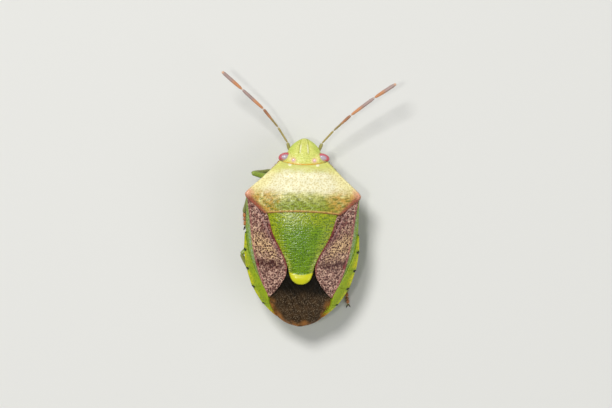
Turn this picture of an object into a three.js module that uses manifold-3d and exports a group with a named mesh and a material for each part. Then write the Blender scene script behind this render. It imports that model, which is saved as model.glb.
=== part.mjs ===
// A shield bug, the green and red-brown kind of stink bug, standing at rest at life size, in millimetres.
// +Y runs towards the head, +X to the animal's right and +Z up, and its soles stand at z = 0.
// Most outlines are half-widths at a few stations along the body, and the left side mirrors the right.
import * as THREE from "three";
import { mergeVertices } from "three/addons/utils/BufferGeometryUtils.js";
import Module from "manifold-3d";

const wasm = await Module();
wasm.setup();

// Driving sizes: the body is 10 mm from the head's tip to the wings' tip, and 6.2 mm across the shoulders.
const headTip = 3.29;
const wingTip = -6.72;
const collarY = 1.81;
const collarBow = 0.17;
const frontCorner = [1.98, 1.34];
const shoulder = [0.27, 3.08];
const hindCorner = [-0.71, 2.0];
const thoraxFront = 1.78;
const waist = -1.75;
const abdomenTip = -6.45;
const scutellumTip = -4.48;
const gap = 0.12;

// A smooth curve through [y, value] stations, level beyond its ends, which never swings past a station.
function through(...stations) {
  const at = [...stations].sort((a, b) => a[0] - b[0]);
  const rise = at.slice(1).map((p, i) => (p[1] - at[i][1]) / (p[0] - at[i][0]));
  const lean = at.map((_, i) => {
    const before = rise[i - 1] ?? rise[i];
    const after = rise[i] ?? rise[i - 1];
    return before * after <= 0 ? 0 : (2 * before * after) / (before + after);
  });
  return (y) => {
    if (y <= at[0][0]) return at[0][1];
    if (y >= at.at(-1)[0]) return at.at(-1)[1];
    const i = at.findIndex((p) => p[0] > y) - 1;
    const h = at[i + 1][0] - at[i][0];
    const t = (y - at[i][0]) / h;
    const swing = lean[i] * h * t * (1 - t) ** 2 - lean[i + 1] * h * t * t * (1 - t);
    return at[i][1] + (at[i + 1][1] - at[i][1]) * t * t * (3 - 2 * t) + swing;
  };
}

const mix = (a, b, t) => a + (b - a) * t;
const steps = (from, to, count) => Array.from({ length: count + 1 }, (_, i) => mix(from, to, i / count));

// Half-widths seen from above.
const pronotumEdge = through(
  frontCorner, [1.1, 2.25], [0.42, 2.98], shoulder,
  [0.1, 2.98], [-0.3, 2.52], hindCorner,
);
const bodyEdge = through(
  [-0.45, 3.0], [-1.36, 3.03], [-2.0, 3.08], [-2.76, 3.07], [-3.75, 2.9],
  [-4.67, 2.57], [-5.56, 1.97], [-6.19, 1.33], [-6.49, 0.83], [wingTip, 0.3],
);
const abdomenEdge = through(
  [waist, 3.03], [-2.0, 3.06], [-2.76, 3.05], [-3.75, 2.88],
  [-4.67, 2.55], [-5.56, 1.95], [-6.05, 1.42], [-6.3, 0.95], [abdomenTip, 0.45],
);
const scutellumEdge = through(
  [-0.79, 1.86], [-1.81, 1.56], [-2.83, 1.02], [-3.5, 0.72],
  [-4.08, 0.6], [-4.3, 0.47], [-4.42, 0.28], [scutellumTip, 0.1],
);
const costalEdge = through(
  [0, 2.96], [-1.36, 2.98], [-2.0, 2.94], [-2.76, 2.8], [-3.75, 2.42], [-4.4, 2.08], [-5.16, 1.7],
  [-5.6, 1.58], [-6.0, 1.36], [-6.4, 0.95], [-6.62, 0.52], [wingTip, 0.08],
);
const coriumRib = through(
  [0, 2.9], [-1.06, 2.75], [-2.2, 2.6],
  [-3.29, 2.38], [-4.07, 2.14], [-5.16, 1.62],
);
const clavusLine = through([0, 2.84], [-0.29, 2.4], [-2.15, 1.45], [-3.1, 0.98], [-5.16, 0.9]);

// Heights: the back's midline, its rim, and the belly's keel.
const spine = through(
  [1.98, 2.72], [1.2, 3.2], [0.27, 3.66], [-0.64, 3.92], [-1.3, 4.0],
  [-2.5, 3.88], [-3.6, 3.62], [-4.48, 3.4], [-5.5, 3.1], [wingTip, 2.7],
);
const rim = through(
  [1.98, 2.4], [1.2, 2.66], [0.27, 2.98], [-0.5, 2.85],
  [-1.36, 2.66], [-2.5, 2.5], [-5.0, 2.4], [wingTip, 2.5],
);
const keel = through(
  [1.7, 1.38], [1.0, 1.24], [0, 1.18], [waist, 1.1],
  [-3.0, 1.05], [-4.5, 1.14], [-5.6, 1.4], [abdomenTip, 1.75],
);
const plateDepth = through([-4.5, 0.72], [-6.0, 0.52], [wingTip, 0.42]);

// The half-width of the back: the pronotum's down to the shoulders, then a short run in to the body's own.
const bodyFront = [-0.45, 3.0];

function envelope(y) {
  if (y > shoulder[0]) return pronotumEdge(y);
  if (y < bodyFront[0]) return bodyEdge(y);
  return mix(bodyFront[1], shoulder[1], (y - bodyFront[0]) / (shoulder[0] - bodyFront[0]));
}

// The domed surface that every plate of the back lies in.
function back(x, y) {
  const out = Math.min(1, Math.abs(x) / envelope(y));
  return mix(spine(y), rim(y), out ** 2.4);
}

// The plates' underside: they thin to half their depth at the rim, and the body lies a gap below them.
function underPlates(x, y) {
  const out = Math.min(1, Math.abs(x) / envelope(y));
  return back(x, y) - plateDepth(y) * (1 - 0.5 * out ** 5);
}
const innerBack = (x, y) => underPlates(x, y) - gap;

function belly(x, y, halfWidth, edgeDepth) {
  const out = Math.min(1, Math.abs(x) / halfWidth);
  return mix(keel(y), rim(y) - edgeDepth, out ** 2.6);
}

// A solid of triangles that face out: where they face in, two corners of each are swapped.
function facingOut(vertProperties, corners) {
  const mesh = { numProp: 3, vertProperties, triVerts: new Uint32Array(corners) };
  const made = new wasm.Manifold(new wasm.Mesh(mesh));
  if (made.volume() > 0) return made;
  const turned = corners.map((_, i) => corners[i % 3 === 0 ? i : i % 3 === 1 ? i + 1 : i - 1]);
  return new wasm.Manifold(new wasm.Mesh({ ...mesh, triVerts: new Uint32Array(turned) }));
}

// A three.js geometry as a solid, its shared corners merged and its pinched triangles dropped.
function solid(geometry) {
  const bare = geometry.clone();
  bare.deleteAttribute("normal");
  bare.deleteAttribute("uv");
  const merged = mergeVertices(bare, 1e-5);
  const corners = [];
  for (let i = 0; i < merged.index.count; i += 3) {
    const [a, b, c] = [0, 1, 2].map((k) => merged.index.getX(i + k));
    if (a !== b && b !== c && c !== a) corners.push(a, b, c);
  }
  return facingOut(new Float32Array(merged.attributes.position.array), corners);
}

const fused = (pieces) => wasm.Manifold.union(pieces);

// The largest closed body of a solid, so that no scrap of a cut stays with it.
function largest(made) {
  return made.decompose().sort((a, b) => b.volume() - a.volume())[0];
}

// A block of across x along x up cells, whose corners go to place(u, v, w), with u, v and w from 0 to 1.
function moulded(across, along, up, place) {
  const block = new THREE.BoxGeometry(1, 1, 1, across, along, up);
  const corners = block.attributes.position;
  for (let i = 0; i < corners.count; i++) {
    const at = place(corners.getX(i) + 0.5, corners.getY(i) + 0.5, corners.getZ(i) + 0.5);
    corners.setXYZ(i, at[0], at[1], at[2]);
  }
  return solid(block);
}

// A plate: at each row y it spans the lines(y), a list of x from left to right, between two surfaces.
function plate({ rows, lines, top, bottom, bow = () => 0 }) {
  const across = lines(rows[0]).length - 1;
  const along = rows.length - 1;
  return moulded(across, along, 1, (u, v, w) => {
    const row = Math.round(v * along);
    const column = Math.round(u * across);
    const x = lines(rows[row])[column];
    const y = rows[row] + bow(x, rows[row]);
    return [x, y, w > 0.5 ? top(x, y, column, row) : bottom(x, y, column, row)];
  });
}

const spread = (halfWidth, count) => steps(-halfWidth, halfWidth, count);

// A round piece from a to b, with its radii at even stations between its two closed ends.
function spindle(a, b, radii, sides = 8) {
  const [from, to] = [new THREE.Vector3(...a), new THREE.Vector3(...b)];
  const length = from.distanceTo(to);
  const profile = radii.map((r, i) => new THREE.Vector2(r, (length * i) / (radii.length - 1)));
  profile.unshift(new THREE.Vector2(0, -0.35 * radii[0]));
  profile.push(new THREE.Vector2(0, length + 0.35 * radii.at(-1)));
  const turned = new THREE.LatheGeometry(profile, sides);
  const heading = to.clone().sub(from).normalize();
  turned.applyQuaternion(new THREE.Quaternion().setFromUnitVectors(new THREE.Vector3(0, 1, 0), heading));
  return solid(turned.translate(...a));
}

function ball(centre, [rx, ry, rz], sides = 12) {
  const round = new THREE.SphereGeometry(1, sides, Math.round(sides * 0.66));
  return solid(round.scale(rx, ry, rz).translate(...centre));
}

const bug = new THREE.Group();

function add(name, made, colour, roughness) {
  const mesh = largest(made).getMesh();
  const geometry = new THREE.BufferGeometry();
  geometry.setAttribute("position", new THREE.BufferAttribute(new Float32Array(mesh.vertProperties), 3));
  geometry.setIndex(new THREE.BufferAttribute(new Uint32Array(mesh.triVerts), 1));
  geometry.computeVertexNormals();
  const shell = new THREE.MeshStandardMaterial({ color: colour, roughness, metalness: 0 });
  const body = new THREE.Mesh(geometry, shell);
  body.name = name;
  bug.add(body);
}

const leafGreen = 0x6f9a1c;
const paleGreen = 0xc9cf6e;
const redBrown = 0x7d4a40;
const eyeRed = 0xc4606a;
const hornBrown = 0xa8795a;

// The pronotum: the broad shield behind the head, with a raised side margin and two low calluses in front.
const pronotumRows = [
  hindCorner[0], -0.5, -0.22, 0.02, 0.18, shoulder[0],
  0.4, 0.7, 1.05, 1.4, 1.72, frontCorner[0],
];
const hindBow = 0.07;
const pronotum = plate({
  rows: pronotumRows,
  lines: (y) => spread(pronotumEdge(y), 16),
  bow: (x, y) => {
    const front = Math.max(0, (y - 0.7) / (frontCorner[0] - 0.7));
    const hind = Math.max(0, (0.1 - y) / (0.1 - hindCorner[0]));
    const out = Math.abs(x) / pronotumEdge(y);
    return front ** 2 * collarBow * (out ** 2 - 1) + hind ** 2 * hindBow * (1 - out ** 2);
  },
  top: (x, y) => {
    const out = Math.abs(x) / pronotumEdge(Math.min(y, frontCorner[0]));
    const margin = out > 0.97 ? 0.04 : 0;
    const callus = 0.06 * Math.exp(-(((Math.abs(x) - 0.7) / 0.4) ** 2) - ((y - 1.42) / 0.2) ** 2);
    return back(x, y) + margin + callus;
  },
  bottom: underPlates,
});
add("pronotum", pronotum, paleGreen, 0.4);

// The scutellum: the long triangle between the wings, its sides drawn in and its round tip slightly lifted.
const scutellumRows = [
  scutellumTip, -4.42, -4.3, -4.08, -3.8, -3.4,
  -2.9, -2.4, -1.9, -1.4, -1.0, hindCorner[0] - gap,
];
const scutellum = plate({
  rows: scutellumRows,
  lines: (y) => spread(scutellumEdge(y), 10),
  bow: (x, y) => (y > -0.9 ? hindBow * (1 - (x / hindCorner[1]) ** 2) : 0),
  top: (x, y) => {
    const out = Math.abs(x) / scutellumEdge(y);
    const lip = 0.06 * Math.exp(-(((y + 4.25) / 0.25) ** 2));
    return back(x, y) - 0.02 - 0.08 * out ** 4 + lip;
  },
  bottom: underPlates,
});
add("scutellum", scutellum, leafGreen, 0.35);

// A forewing: a leathery corium with its clavus and outer strip, and a lower, veined membrane behind it.
// Both are drawn for the right side, and side is 1 for the right wing and -1 for the left.
const wingInner = (y) => (y > -0.8 ? pronotumEdge(y) + gap * 1.3 : scutellumEdge(y) + gap);
const coriumInner = through(
  [-0.08, wingInner(-0.08)], [-0.4, wingInner(-0.4)], [-0.75, 2.1], [-0.9, 1.98], [-1.81, 1.68],
  [-2.83, 1.14], [-3.2, 0.96], [-3.82, 0.82], [-4.5, 1.06], [-4.9, 1.36], [-5.16, 1.62],
);
const coriumRows = [
  -5.16, -5.05, -4.85, -4.5, -4.1, -3.7, -3.25, -2.8,
  -2.3, -1.8, -1.3, -0.95, -0.72, -0.4, -0.08,
];

function coriumLines(y) {
  const inner = coriumInner(y);
  const outer = Math.max(costalEdge(y), inner + 0.08);
  const rib = Math.min(Math.max(coriumRib(y), inner + 0.04), outer - 0.02);
  const clavus = Math.min(Math.max(clavusLine(y), mix(inner, rib, 0.3)), mix(inner, rib, 0.6));
  return [...steps(inner, clavus, 2), ...steps(clavus, rib, 4).slice(1), ...steps(rib, outer, 2).slice(1)];
}

// The left membrane lies on top: its inner edge crosses the midline, and the right one stops clear of it.
const upperInner = through(
  [-3.6, 0.83], [-4.1, 0.74], [-4.35, 0.6], [-4.5, 0.36], [-4.64, 0.0],
  [-5.0, -0.45], [-5.6, -0.92], [-6.15, -1.06], [-6.5, -0.72], [wingTip, -0.12],
);
const lowerInner = through(
  [-3.6, 0.83], [-4.1, 0.74], [-4.35, 0.6], [-4.5, 0.36], [-4.62, 0.2],
  [-5.0, 0.45 + gap * 1.3], [-5.6, 0.92 + gap * 1.3], [-6.0, 1.2],
);
const veins = 6;

function forewing(side, membraneInner, membraneEnd) {
  const mirrored = (lines) => (y) => (side > 0 ? lines(y) : lines(y).map((x) => -x).reverse());
  const corium = plate({
    rows: coriumRows,
    lines: mirrored(coriumLines),
    top: (x, y, column) => {
      const place = side > 0 ? column : 8 - column;
      const sutures = place === 2 || place === 6 ? 0.06 : 0;
      return back(x, y) - 0.1 - sutures - (place === 8 ? 0.05 : 0);
    },
    bottom: underPlates,
  });
  const across = 2 * veins + 1;
  const membraneLines = (y) => {
    const outer = y > -5.16 ? costalEdge(y) - 0.12 : costalEdge(y);
    return steps(membraneInner(y), Math.max(outer, membraneInner(y) + 0.1), across);
  };
  const membrane = plate({
    rows: steps(membraneEnd, -3.6, 9),
    lines: mirrored(membraneLines),
    top: (x, y, column) => back(x, y) - 0.27 + (column % 2 === 1 && column < across ? 0.07 : 0),
    bottom: underPlates,
  });
  return fused([corium, membrane]);
}
add("forewing_right", forewing(1, lowerInner, -6.0), redBrown, 0.5);
add("forewing_left", forewing(-1, upperInner, wingTip), redBrown, 0.5);

// The legs. Each is a chain of joints from its coxa, a ball in a cup under the thorax, to a sole on the floor.
const coxaRadius = 0.32;
const femurRadii = [0.24, 0.28, 0.28, 0.26];
const tibiaRadii = [0.26, 0.25, 0.25, 0.25];
const tarsusRadii = [0.24, 0.25, 0.21, 0.25, 0.21, 0.24];
const ankleZ = 0.25;
const toeZ = 0.17;
const coxae = { fore: [0.64, 0.95, 1.02], mid: [0.74, -0.15, 0.98], hind: [0.76, -1.12, 0.94] };
const stance = {
  leg_fore_left: { knee: [-2.66, 1.38, 1.2], ankle: [-1.74, 1.64], toe: [-1.2, 2.22] },
  leg_fore_right: { knee: [2.16, 0.92, 1.3], ankle: [1.66, 1.88], toe: [1.2, 2.52] },
  leg_mid_left: { knee: [-2.76, 0.32, 1.36], ankle: [-3.02, -0.72], toe: [-2.98, -1.5] },
  leg_mid_right: { knee: [2.64, 0.08, 1.36], ankle: [2.76, -0.8], toe: [2.68, -1.58] },
  leg_hind_left: { knee: [-3.06, -2.96, 1.3], ankle: [-2.06, -5.06], toe: [-1.62, -5.74] },
  leg_hind_right: { knee: [2.86, -2.84, 1.42], ankle: [2.46, -4.9], toe: [2.56, -5.68] },
};

// Where a leg's coxa is, from its name: the left one mirrors the right.
function coxaOf(name) {
  const [, pair, side] = name.split("_");
  const [x, y, z] = coxae[pair];
  return [side === "left" ? -x : x, y, z];
}

function leg(coxa, { knee, ankle, toe }) {
  const heel = [...ankle, ankleZ];
  const tip = [...toe, toeZ];
  const trochanter = [coxa[0] + 0.18 * Math.sign(coxa[0]), coxa[1], coxa[2] - 0.16];
  const heading = new THREE.Vector3(toe[0] - ankle[0], toe[1] - ankle[1], 0).normalize();
  const claws = [-1, 1].map((turn) => {
    const away = heading.clone().applyAxisAngle(new THREE.Vector3(0, 0, 1), 0.5 * turn);
    return spindle(tip, [toe[0] + 0.38 * away.x, toe[1] + 0.38 * away.y, 0.07], [0.15, 0.12, 0.05], 6);
  });
  const chain = [
    ball(coxa, [coxaRadius, coxaRadius, coxaRadius], 10),
    spindle(coxa, trochanter, [0.26, 0.26]),
    spindle(trochanter, knee, femurRadii),
    ball(knee, [0.27, 0.27, 0.27], 8),
    spindle(knee, heel, tibiaRadii),
    spindle(heel, tip, tarsusRadii),
    ...claws,
  ];
  return fused(chain).trimByPlane([0, 0, 1], 0);
}
for (const [name, joints] of Object.entries(stance)) add(name, leg(coxaOf(name), joints), leafGreen, 0.45);

const cup = coxaRadius + gap;
const coxaCups = Object.keys(stance).map((name) => ball(coxaOf(name), [cup, cup, cup], 12));

// The thorax: the body under the pronotum and the wing roots, with stepped sides and a cup for each coxa.
const thoraxEdge = through([1.7, 1.2], [0.9, 2.05], [0.27, 2.62], [-0.5, 2.74], [waist, 2.76]);
const pleuraSteps = [0.42, -0.78];
const pleuraRows = pleuraSteps.flatMap((y) => [y - 0.08, y]);
const thoraxRows = [waist, -1.3, ...pleuraRows, -0.35, 0, 0.8, 1.2, 1.5, thoraxFront].sort((a, b) => a - b);
const thorax = plate({
  rows: thoraxRows,
  lines: (y) => spread(thoraxEdge(y) - (pleuraSteps.some((s) => y <= s && y > s - 0.05) ? 0.07 : 0), 12),
  top: innerBack,
  bottom: (x, y) => belly(x, y, thoraxEdge(y) * 1.04, 0.52),
});
add("thorax", thorax.subtract(fused(coxaCups)), leafGreen, 0.5);

// The abdomen: its belly is a shallow keel, and its rim stands out beside the wings, one plate a segment.
const segmentEnds = [-2.72, -3.71, -4.67, -5.56, -6.19];
const segmentStarts = [waist - gap, ...segmentEnds.slice(0, -1)];
const tooth = 0.05;
const abdomenRows = [abdomenTip, -6.36];
segmentEnds.forEach((end, i) => {
  const start = segmentStarts[i];
  abdomenRows.push(end, end + 0.05, mix(end, start, 0.4), mix(end, start, 0.75));
});
abdomenRows.push(segmentStarts[0]);
abdomenRows.sort((a, b) => a - b);

// How far y lies down its own segment, from 0 at its front to 1 just before its hind corner.
function downSegment(y) {
  const i = segmentEnds.findIndex((end, k) => y > end + 1e-6 && y <= segmentStarts[k] + 1e-6);
  return i < 0 ? 0 : Math.min(1, (segmentStarts[i] - y) / (segmentStarts[i] - segmentEnds[i] - 0.05));
}
const abdomenWhole = plate({
  rows: abdomenRows,
  lines: (y) => {
    const edge = abdomenEdge(y) + tooth * downSegment(y) ** 3;
    return [-edge, -edge * 0.93, ...spread(edge * 0.82, 10), edge * 0.93, edge];
  },
  top: (x, y) => back(x, y) - 0.05 - 0.05 * (1 - downSegment(y)) ** 4,
  bottom: (x, y, column, row) => {
    const suture = downSegment(abdomenRows[row]) < 0.02 ? 0.06 : 0;
    return belly(x, y, abdomenEdge(y), 0.34) + suture;
  },
});
const wingPocket = plate({
  rows: [...steps(-7.2, -6.72, 2), -6.62, -6.5, ...steps(-6.3, -1.4, 14)],
  lines: (y) => spread(costalEdge(y) + gap, 10),
  top: () => 6,
  bottom: innerBack,
});
add("abdomen", abdomenWhole.subtract(wingPocket), leafGreen, 0.45);

// The head: a blunt wedge that slopes to its tip, with grooves between the middle lobe and the cheek lobes.
const headRear = collarY + gap;
const headEdge = through(
  [1.8, 0.98], [2.3, 0.97], [2.5, 0.91], [2.68, 0.83], [2.84, 0.71],
  [2.98, 0.58], [3.1, 0.43], [3.19, 0.29], [3.26, 0.15], [headTip, 0.06],
);
const headTop = through([1.8, 2.66], [2.3, 2.55], [2.7, 2.32], [3.0, 2.07], [3.2, 1.88], [headTip, 1.76]);
const headUnder = through([1.8, 1.36], [2.4, 1.26], [2.8, 1.32], [3.1, 1.48], [headTip, 1.62]);
const headRows = [headRear, 2.1, 2.3, 2.5, 2.68, 2.84, 2.98, 3.1, 3.19, 3.26, headTip];
const lobeLine = 0.24;
const headWedge = moulded(14, headRows.length - 1, 4, (u, v, w) => {
  const row = Math.round(v * (headRows.length - 1));
  const edge = headEdge(headRows[row]);
  const out = 2 * u - 1;
  const x = edge * out * (1 - 0.12 * (2 * w - 1) ** 2 * Math.abs(out) ** 3);
  const y = headRows[row] + (row === 0 ? collarBow * (x / frontCorner[1]) ** 2 : 0);
  const lobes = headRows[row] > 2.25 ? 0.05 * Math.exp(-(((Math.abs(x) - lobeLine) / 0.08) ** 2)) : 0;
  const top = headTop(y) - 0.24 * out ** 2 - lobes;
  const under = headUnder(y) + Math.min(0.4, 0.3 * (headTop(y) - headUnder(y))) * out ** 2;
  return [x, y, mix(under, top, w)];
});
const eyeCentre = [1.02, 2.26, 2.14];
const eyeSize = [0.33, 0.26, 0.3];
const eyes = [-1, 1].map((side) => [side * eyeCentre[0], eyeCentre[1], eyeCentre[2]]);
const eyeCups = eyes.map((centre) => ball(centre, eyeSize.map((r) => r + 0.7 * gap), 16));
const ocelli = [-1, 1].map((side) => ball([side * 0.55, 2.1, headTop(2.1) - 0.11], [0.1, 0.1, 0.09], 8));
["left", "right"].forEach((side, i) => add("eye_" + side, ball(eyes[i], eyeSize, 16), eyeRed, 0.2));

// The antennae: five joints each, from a root under the head's edge, rising a little towards the tip.
const antennaZ = [1.5, 1.62, 1.9, 2.2, 2.5, 2.76];
const antennae = {
  antenna_left: [[-0.8, 2.66], [-0.9, 3.04], [-1.42, 3.83], [-2.22, 4.78], [-3.37, 5.78], [-4.47, 6.7]],
  antenna_right: [[0.8, 2.66], [0.94, 3.05], [1.53, 3.72], [2.43, 4.57], [3.65, 5.52], [4.8, 6.3]],
};
const jointRadii = [
  [0.24, 0.26, 0.24], [0.22, 0.24, 0.25], [0.22, 0.25, 0.26],
  [0.22, 0.27, 0.27, 0.25], [0.22, 0.27, 0.27, 0.24, 0.12],
];
const scapeSockets = [];
for (const [name, path] of Object.entries(antennae)) {
  const at = path.map((p, i) => [...p, antennaZ[i]]);
  const joints = jointRadii.map((radii, i) => spindle(at[i], at[i + 1], radii, 8));
  scapeSockets.push(spindle(at[0], at[1], [0.24 + gap, 0.26 + gap, 0.26 + gap], 10));
  add(name, fused(joints), hornBrown, 0.5);
}
const head = fused([headWedge, ...ocelli]).subtract(fused([...eyeCups, ...scapeSockets]));
add("head", head, paleGreen, 0.4);

// The rostrum: the beak of four joints, folded back under the head and the breast to between the hind coxae.
const beak = [[0, 2.86, 0.98], [0, 1.86, 0.88], [0, 0.9, 0.84], [0, -0.1, 0.8], [0, -0.86, 0.78]];
const beakRadii = [[0.2, 0.25, 0.22], [0.2, 0.23, 0.2], [0.2, 0.21, 0.18], [0.17, 0.15, 0.06]];
const beakJoints = beakRadii.map((radii, i) => spindle(beak[i], beak[i + 1], radii));
add("rostrum", fused(beakJoints), paleGreen, 0.45);

export default bug;
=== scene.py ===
import math

import bpy
import numpy as np
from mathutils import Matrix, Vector


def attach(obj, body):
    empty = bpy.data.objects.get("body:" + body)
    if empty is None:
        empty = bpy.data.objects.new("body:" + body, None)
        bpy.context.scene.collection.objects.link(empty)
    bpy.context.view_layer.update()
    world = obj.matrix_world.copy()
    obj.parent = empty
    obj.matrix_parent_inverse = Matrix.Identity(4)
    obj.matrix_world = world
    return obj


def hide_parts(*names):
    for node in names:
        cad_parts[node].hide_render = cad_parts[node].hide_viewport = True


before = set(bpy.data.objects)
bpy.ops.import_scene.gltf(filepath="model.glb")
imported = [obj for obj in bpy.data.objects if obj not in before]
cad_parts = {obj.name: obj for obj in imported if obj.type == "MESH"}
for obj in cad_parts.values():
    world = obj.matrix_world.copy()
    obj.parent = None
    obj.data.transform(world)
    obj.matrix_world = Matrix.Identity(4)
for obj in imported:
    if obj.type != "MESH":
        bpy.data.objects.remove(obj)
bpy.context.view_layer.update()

# The view. The photo looks straight down on the bug's back with a long lens, its head leaning a little to
# the right, so the camera hangs above the back and is rolled by that lean.
mm = 0.001
photo_width = 612
pixels_per_mm = 18.9
lean = math.radians(1.5)
view_centre = (0.171 * mm, -0.209 * mm)
back_height = 3.2 * mm
camera_above = 200 * mm

bpy.ops.object.camera_add(location=(*view_centre, back_height + camera_above), rotation=(0, 0, lean))
camera = bpy.context.object
camera.data.sensor_width = 36
camera.data.lens = camera.data.sensor_width * camera_above / (photo_width / pixels_per_mm * mm)
camera.data.clip_start = 0.01
bpy.context.scene.camera = camera


# The studio. A plain pale floor under the soles, one big soft lamp ahead and to the left, a small one
# nearly overhead that draws the glints on the wet-looking plates, a weak one behind on the right, and a
# pale surround.
def srgb(red, green, blue):
    """A colour as a paint chart gives it, 0 to 255, in the light values that the shader wants."""
    shares = np.array([red, green, blue]) / 255
    linear = np.where(shares <= 0.04045, shares / 12.92, ((shares + 0.055) / 1.055) ** 2.4)
    return (*linear, 1)


bpy.ops.mesh.primitive_plane_add(size=2, location=(0, 0, 0))
floor = bpy.context.object
floor.name = "studio_floor"
floor_paint = bpy.data.materials.new("floor_paper")
floor_paint.use_nodes = True
paper = floor_paint.node_tree.nodes["Principled BSDF"]
paper.inputs["Base Color"].default_value = srgb(214, 213, 208)
paper.inputs["Roughness"].default_value = 0.9
paper.inputs["Specular IOR Level"].default_value = 0.1
floor.data.materials.append(floor_paint)


def soft_lamp(name, place, size, watts):
    bpy.ops.object.light_add(type="AREA", location=place)
    lamp = bpy.context.object
    lamp.name = name
    lamp.data.shape = "DISK"
    lamp.data.size = size
    lamp.data.energy = watts
    aim = Vector((0, 0, 3 * mm)) - Vector(place)
    lamp.rotation_euler = aim.to_track_quat("-Z", "Y").to_euler()


soft_lamp("key_lamp", (-0.085, 0.12, 0.27), size=0.09, watts=0.7)
soft_lamp("glint_lamp", (-0.045, -0.012, 0.26), size=0.024, watts=0.11)
soft_lamp("fill_lamp", (0.22, -0.10, 0.20), size=0.25, watts=0.22)
surround = bpy.data.worlds.new("studio_surround")
surround.use_nodes = True
surround.node_tree.nodes["Background"].inputs["Color"].default_value = srgb(232, 236, 240)
surround.node_tree.nodes["Background"].inputs["Strength"].default_value = 0.31
bpy.context.scene.world = surround
bpy.context.scene.view_settings.view_transform = "Standard"


# The pronotum, the broad shield behind the head: one hard plate of cuticle, cream in front, olive green and
# deeply pitted behind, with pinkish brown shoulders. It is hinged by skin to the head in front and laps over
# the scutellum and the wing roots behind.
def through(*stations):
    """A smooth curve through (y, value) stations, level beyond its ends, that never swings past one."""
    at, value = np.array(sorted(stations), float).T
    rise = np.diff(value) / np.diff(at)
    before, after = rise[:-1], rise[1:]
    total = np.where(before * after > 0, before + after, 1)
    lean_in = np.where(before * after > 0, 2 * before * after / total, 0)
    slope = np.concatenate([rise[:1], lean_in, rise[-1:]])

    def curve(y):
        y = np.clip(y, at[0], at[-1])
        i = np.clip(np.searchsorted(at, y, side="right") - 1, 0, len(at) - 2)
        h = at[i + 1] - at[i]
        t = (y - at[i]) / h
        swing = slope[i] * h * t * (1 - t) ** 2 - slope[i + 1] * h * t * t * (1 - t)
        return value[i] + (value[i + 1] - value[i]) * t * t * (3 - 2 * t) + swing

    return curve


def mix(a, b, t):
    return a + (b - a) * t


def clamp(share):
    return np.clip(share, 0, 1)


def step(low, high, value):
    """0 below low, 1 above high, and a smooth rise between."""
    t = clamp((value - low) / (high - low))
    return t * t * (3 - 2 * t)


def band(value, centre, width):
    """1 on a line, falling off smoothly to nothing about a width away from it."""
    return np.exp(-(((value - centre) / width) ** 2))


shoulder = (0.27, 3.08)
front_corner = (1.98, 1.34)
hind_corner = (-0.71, 2.0)
wing_tip = -6.72
collar_bow = 0.17
hind_bow = 0.07
dome_roundness = 2.4
pronotum_edge = through(
    front_corner, (1.1, 2.25), (0.42, 2.98), shoulder,
    (0.1, 2.98), (-0.3, 2.52), hind_corner,
)
body_front = (-0.45, 3.0)
body_edge = through(
    body_front, (-1.36, 3.03), (-2.0, 3.08), (-2.76, 3.07), (-3.75, 2.9),
    (-4.67, 2.57), (-5.56, 1.97), (-6.19, 1.33), (-6.49, 0.83), (wing_tip, 0.3),
)
spine = through(
    (1.98, 2.72), (1.2, 3.2), (0.27, 3.66), (-0.64, 3.92), (-1.3, 4.0),
    (-2.5, 3.88), (-3.6, 3.62), (-4.48, 3.4), (-5.5, 3.1), (wing_tip, 2.7),
)
rim = through(
    (1.98, 2.4), (1.2, 2.66), (0.27, 2.98), (-0.5, 2.85),
    (-1.36, 2.66), (-2.5, 2.5), (-5.0, 2.4), (wing_tip, 2.5),
)
plate_depth = through((-4.5, 0.72), (-6.0, 0.52), (wing_tip, 0.42))


def envelope(y):
    """The back's half-width: the pronotum's down to the shoulders, then a short run in to the body's."""
    run_in = mix(body_front[1], shoulder[1], (y - body_front[0]) / (shoulder[0] - body_front[0]))
    return np.where(y > shoulder[0], pronotum_edge(y), np.where(y < body_front[0], body_edge(y), run_in))


def back(x, y):
    """The dome that all plates of the back lie in."""
    return mix(spine(y), rim(y), np.minimum(1, np.abs(x) / envelope(y)) ** dome_roundness)


def under_plates(x, y):
    """The underside of the back's plates, which thin towards their rims."""
    out = np.minimum(1, np.abs(x) / envelope(y))
    return back(x, y) - plate_depth(y) * (1 - 0.5 * out**5)


def crowd(t):
    """Even steps drawn somewhat closer together at both ends, where a plate's edge is rolled."""
    pull = 0.35
    return t - pull * np.sin(2 * np.pi * t) / (2 * np.pi)


def rolled(inside, radius):
    """How far a plate's surface drops at a distance inside its edge, for an edge rounded to that radius."""
    return radius - np.sqrt(radius**2 - (radius - np.clip(inside, 0, radius)) ** 2)


def pits(x, y, spacing, radius, seed):
    """A field of small round pits, one in each cell: 1 at a pit's floor and 0 between them."""
    cells = 61
    draw = np.random.default_rng(seed)
    shift = draw.uniform(-0.4, 0.4, (cells, cells, 2))
    size = draw.uniform(0.45, 1.1, (cells, cells))
    column, row = np.floor(x / spacing).astype(int), np.floor(y / spacing).astype(int)
    deepest = np.zeros_like(x)
    for i in (-1, 0, 1):
        for j in (-1, 0, 1):
            c, r = (column + i) % cells, (row + j) % cells
            dx = x - (column + i + 0.5 + shift[c, r, 0]) * spacing
            dy = y - (row + j + 0.5 + shift[c, r, 1]) * spacing
            deepest = np.maximum(deepest, 1 - (dx**2 + dy**2) / (radius * size[c, r]) ** 2)
    return deepest


def waves(x, y, length, seed, count=14):
    """Soft unevenness about 0, mostly between -1 and 1, with humps about a length apart."""
    draw = np.random.default_rng(seed)
    total = np.zeros_like(x)
    for turn, phase, stretch in draw.uniform((0, 0, 0.6), (np.pi, 2 * np.pi, 1.6), (count, 3)):
        total += np.sin(2 * np.pi * (x * np.cos(turn) + y * np.sin(turn)) / (length * stretch) + phase)
    return total / math.sqrt(2 * count)


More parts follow.
